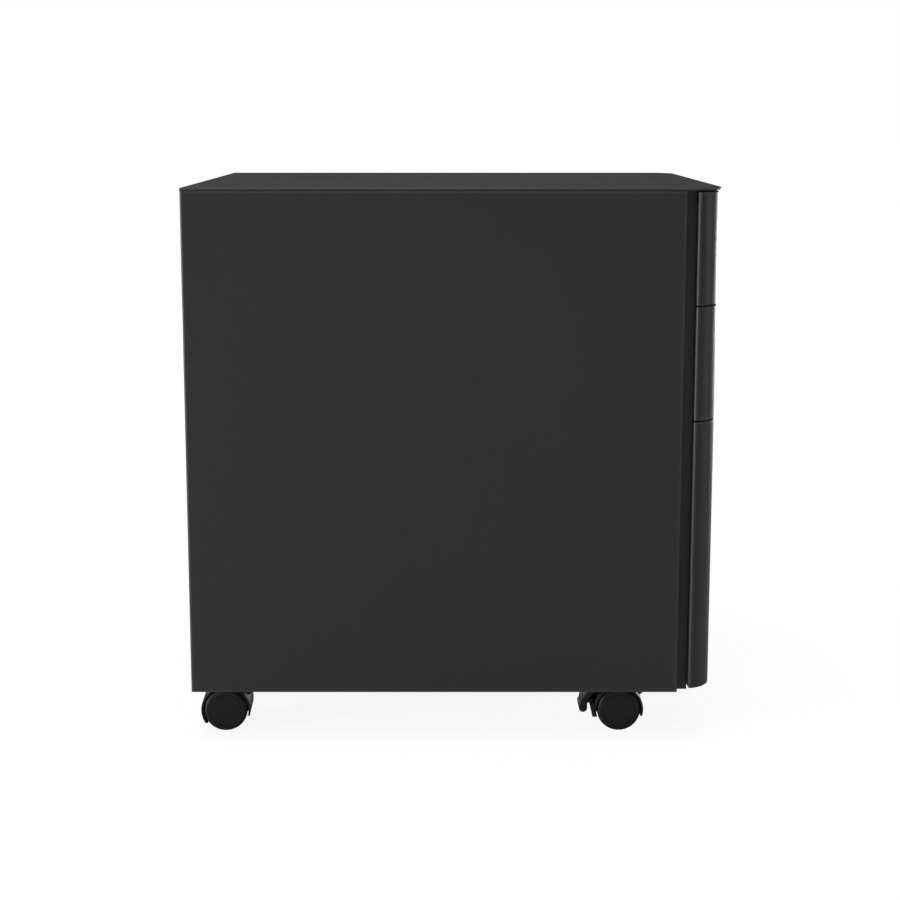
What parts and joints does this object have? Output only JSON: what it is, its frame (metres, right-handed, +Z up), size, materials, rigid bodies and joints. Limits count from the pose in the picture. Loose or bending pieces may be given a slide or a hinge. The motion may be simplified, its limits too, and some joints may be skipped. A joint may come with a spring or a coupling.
{
  "type": "rolling pedestal cabinet",
  "caption": "Black steel office pedestal with curved-edge drawer fronts, side finger channels, telescopic slides, central lock bar and twin-wheel castors.",
  "frame": {"origin": "on the floor, midway across the width and midway along the depth of the top panel", "axes": "+Z up, drawers open towards -Y, +X to the right of a person who stands in front and faces the drawers"},
  "size_m": [0.39, 0.52, 0.552],
  "materials": {
    "powder_coat": "fine-textured black powder coat, satin",
    "zinc_steel": "bright zinc-plated steel",
    "bright_steel": "turned steel",
    "black_screw": "black-plated screws",
    "lock_chrome": "nickel-plated lock",
    "tray_plastic": "moulded black plastic",
    "castor_plastic": "moulded black nylon",
    "wheel_plastic": "moulded black polyamide"
  },
  "bodies": {
    "carcass": {"back_panel": "powder_coat", "base_pan": "powder_coat", "carcass_screws": "black_screw", "castor_stem_nuts": "zinc_steel", "castor_stems": "bright_steel", "front_top_rail": "powder_coat", "lock_bar_guides": "zinc_steel", "lock_housing": "lock_chrome", "lock_nut": "zinc_steel", "side_panel_left": "powder_coat", "side_panel_right": "powder_coat", "slide_uprights": "powder_coat", "slides_1_outer": "zinc_steel", "slides_2_outer": "zinc_steel", "slides_3_outer": "zinc_steel", "top_panel": "powder_coat"},
    "lock_plug": {"lock_plug": "lock_chrome", "lock_cam": "zinc_steel"},
    "lock_bar": {"lock_bar": "zinc_steel"},
    "drawer_1": {"drawer_1_front": "powder_coat", "drawer_1_liner": "powder_coat", "drawer_1_body": "powder_coat", "drawer_1_catch": "zinc_steel", "drawer_1_screws": "black_screw", "slides_1_inner": "zinc_steel", "pencil_tray": "tray_plastic"},
    "slide_middle_1": {"slides_1_middle": "zinc_steel"},
    "drawer_2": {"drawer_2_front": "powder_coat", "drawer_2_liner": "powder_coat", "drawer_2_body": "powder_coat", "drawer_2_catch": "zinc_steel", "drawer_2_screws": "black_screw", "slides_2_inner": "zinc_steel"},
    "slide_middle_2": {"slides_2_middle": "zinc_steel"},
    "drawer_3": {"drawer_3_front": "powder_coat", "drawer_3_liner": "powder_coat", "drawer_3_body": "powder_coat", "drawer_3_catch": "zinc_steel", "drawer_3_screws": "black_screw", "slides_3_inner": "zinc_steel", "file_rails": "zinc_steel"},
    "slide_middle_3": {"slides_3_middle": "zinc_steel"},
    "castor_front_left": {"castor_front_left_hood": "castor_plastic", "castor_front_left_axle": "bright_steel"},
    "castor_front_left_wheel_a": {"castor_front_left_wheel_a": "wheel_plastic"},
    "castor_front_left_wheel_b": {"castor_front_left_wheel_b": "wheel_plastic"},
    "brake_lever_front_left": {"castor_front_left_brake_lever": "castor_plastic"},
    "castor_front_right": {"castor_front_right_hood": "castor_plastic", "castor_front_right_axle": "bright_steel"},
    "castor_front_right_wheel_a": {"castor_front_right_wheel_a": "wheel_plastic"},
    "castor_front_right_wheel_b": {"castor_front_right_wheel_b": "wheel_plastic"},
    "brake_lever_front_right": {"castor_front_right_brake_lever": "castor_plastic"},
    "castor_rear_left": {"castor_rear_left_hood": "castor_plastic", "castor_rear_left_axle": "bright_steel"},
    "castor_rear_left_wheel_a": {"castor_rear_left_wheel_a": "wheel_plastic"},
    "castor_rear_left_wheel_b": {"castor_rear_left_wheel_b": "wheel_plastic"},
    "castor_rear_right": {"castor_rear_right_hood": "castor_plastic", "castor_rear_right_axle": "bright_steel"},
    "castor_rear_right_wheel_a": {"castor_rear_right_wheel_a": "wheel_plastic"},
    "castor_rear_right_wheel_b": {"castor_rear_right_wheel_b": "wheel_plastic"}
  },
  "joints": [
    {"name": "drawer_1", "type": "slide", "parent": "carcass", "child": "drawer_1", "axis": [0, -1, 0], "range_m": [0, 0.42]},
    {"name": "slide_middle_1", "type": "slide", "parent": "carcass", "child": "slide_middle_1", "axis": [0, -1, 0], "range_m": [0, 0.21]},
    {"name": "drawer_2", "type": "slide", "parent": "carcass", "child": "drawer_2", "axis": [0, -1, 0], "range_m": [0, 0.42]},
    {"name": "slide_middle_2", "type": "slide", "parent": "carcass", "child": "slide_middle_2", "axis": [0, -1, 0], "range_m": [0, 0.21]},
    {"name": "drawer_3", "type": "slide", "parent": "carcass", "child": "drawer_3", "axis": [0, -1, 0], "range_m": [0, 0.42]},
    {"name": "slide_middle_3", "type": "slide", "parent": "carcass", "child": "slide_middle_3", "axis": [0, -1, 0], "range_m": [0, 0.21]},
    {"name": "lock_bar_lift", "type": "slide", "parent": "carcass", "child": "lock_bar", "axis": [0, 0, 1], "range_m": [0, 0.0113]},
    {"name": "lock_turn", "type": "hinge", "parent": "carcass", "child": "lock_plug", "pos_m": [0.14, -0.24, 0.532], "axis": [0, -1, 0], "range_deg": [0, 90]},
    {"name": "swivel_front_left", "type": "hinge", "parent": "carcass", "child": "castor_front_left", "pos_m": [-0.146, -0.186, 0.045], "axis": [0, 0, 1], "continuous": true},
    {"name": "wheel_a_front_left", "type": "hinge", "parent": "castor_front_left", "child": "castor_front_left_wheel_a", "pos_m": [-0.146, -0.169, 0.022], "axis": [1, 0, 0], "continuous": true},
    {"name": "wheel_b_front_left", "type": "hinge", "parent": "castor_front_left", "child": "castor_front_left_wheel_b", "pos_m": [-0.146, -0.169, 0.022], "axis": [1, 0, 0], "continuous": true},
    {"name": "brake_front_left", "type": "hinge", "parent": "castor_front_left", "child": "brake_lever_front_left", "pos_m": [-0.146, -0.1545, 0.0472], "axis": [-1, 0, 0], "range_deg": [0, 8]},
    {"name": "swivel_front_right", "type": "hinge", "parent": "carcass", "child": "castor_front_right", "pos_m": [0.146, -0.186, 0.045], "axis": [0, 0, 1], "continuous": true},
    {"name": "wheel_a_front_right", "type": "hinge", "parent": "castor_front_right", "child": "castor_front_right_wheel_a", "pos_m": [0.15011, -0.1695, 0.022], "axis": [0.9703, -0.2419, 0], "continuous": true},
    {"name": "wheel_b_front_right", "type": "hinge", "parent": "castor_front_right", "child": "castor_front_right_wheel_b", "pos_m": [0.15011, -0.1695, 0.022], "axis": [0.9703, -0.2419, 0], "continuous": true},
    {"name": "brake_front_right", "type": "hinge", "parent": "castor_front_right", "child": "brake_lever_front_right", "pos_m": [0.15362, -0.15544, 0.0472], "axis": [-0.9703, 0.2419, 0], "range_deg": [0, 8]},
    {"name": "swivel_rear_left", "type": "hinge", "parent": "carcass", "child": "castor_rear_left", "pos_m": [-0.146, 0.214, 0.045], "axis": [0, 0, 1], "continuous": true},
    {"name": "wheel_a_rear_left", "type": "hinge", "parent": "castor_rear_left", "child": "castor_rear_left_wheel_a", "pos_m": [-0.14659, 0.23099, 0.022], "axis": [0.9994, 0.0349, 0], "continuous": true},
    {"name": "wheel_b_rear_left", "type": "hinge", "parent": "castor_rear_left", "child": "castor_rear_left_wheel_b", "pos_m": [-0.14659, 0.23099, 0.022], "axis": [0.9994, 0.0349, 0], "continuous": true},
    {"name": "swivel_rear_right", "type": "hinge", "parent": "carcass", "child": "castor_rear_right", "pos_m": [0.146, 0.214, 0.045], "axis": [0, 0, 1], "continuous": true},
    {"name": "wheel_a_rear_right", "type": "hinge", "parent": "castor_rear_right", "child": "castor_rear_right_wheel_a", "pos_m": [0.13909, 0.22953, 0.022], "axis": [0.9135, 0.4067, 0], "continuous": true},
    {"name": "wheel_b_rear_right", "type": "hinge", "parent": "castor_rear_right", "child": "castor_rear_right_wheel_b", "pos_m": [0.13909, 0.22953, 0.022], "axis": [0.9135, 0.4067, 0], "continuous": true}
  ],
  "couplings": [
    {"joint": "slide_middle_1", "follows": "drawer_1", "ratio": 0.5},
    {"joint": "slide_middle_2", "follows": "drawer_2", "ratio": 0.5},
    {"joint": "slide_middle_3", "follows": "drawer_3", "ratio": 0.5},
    {"joint": "lock_turn", "follows": "lock_bar_lift", "rad_per_m": 138.89}
  ]
}
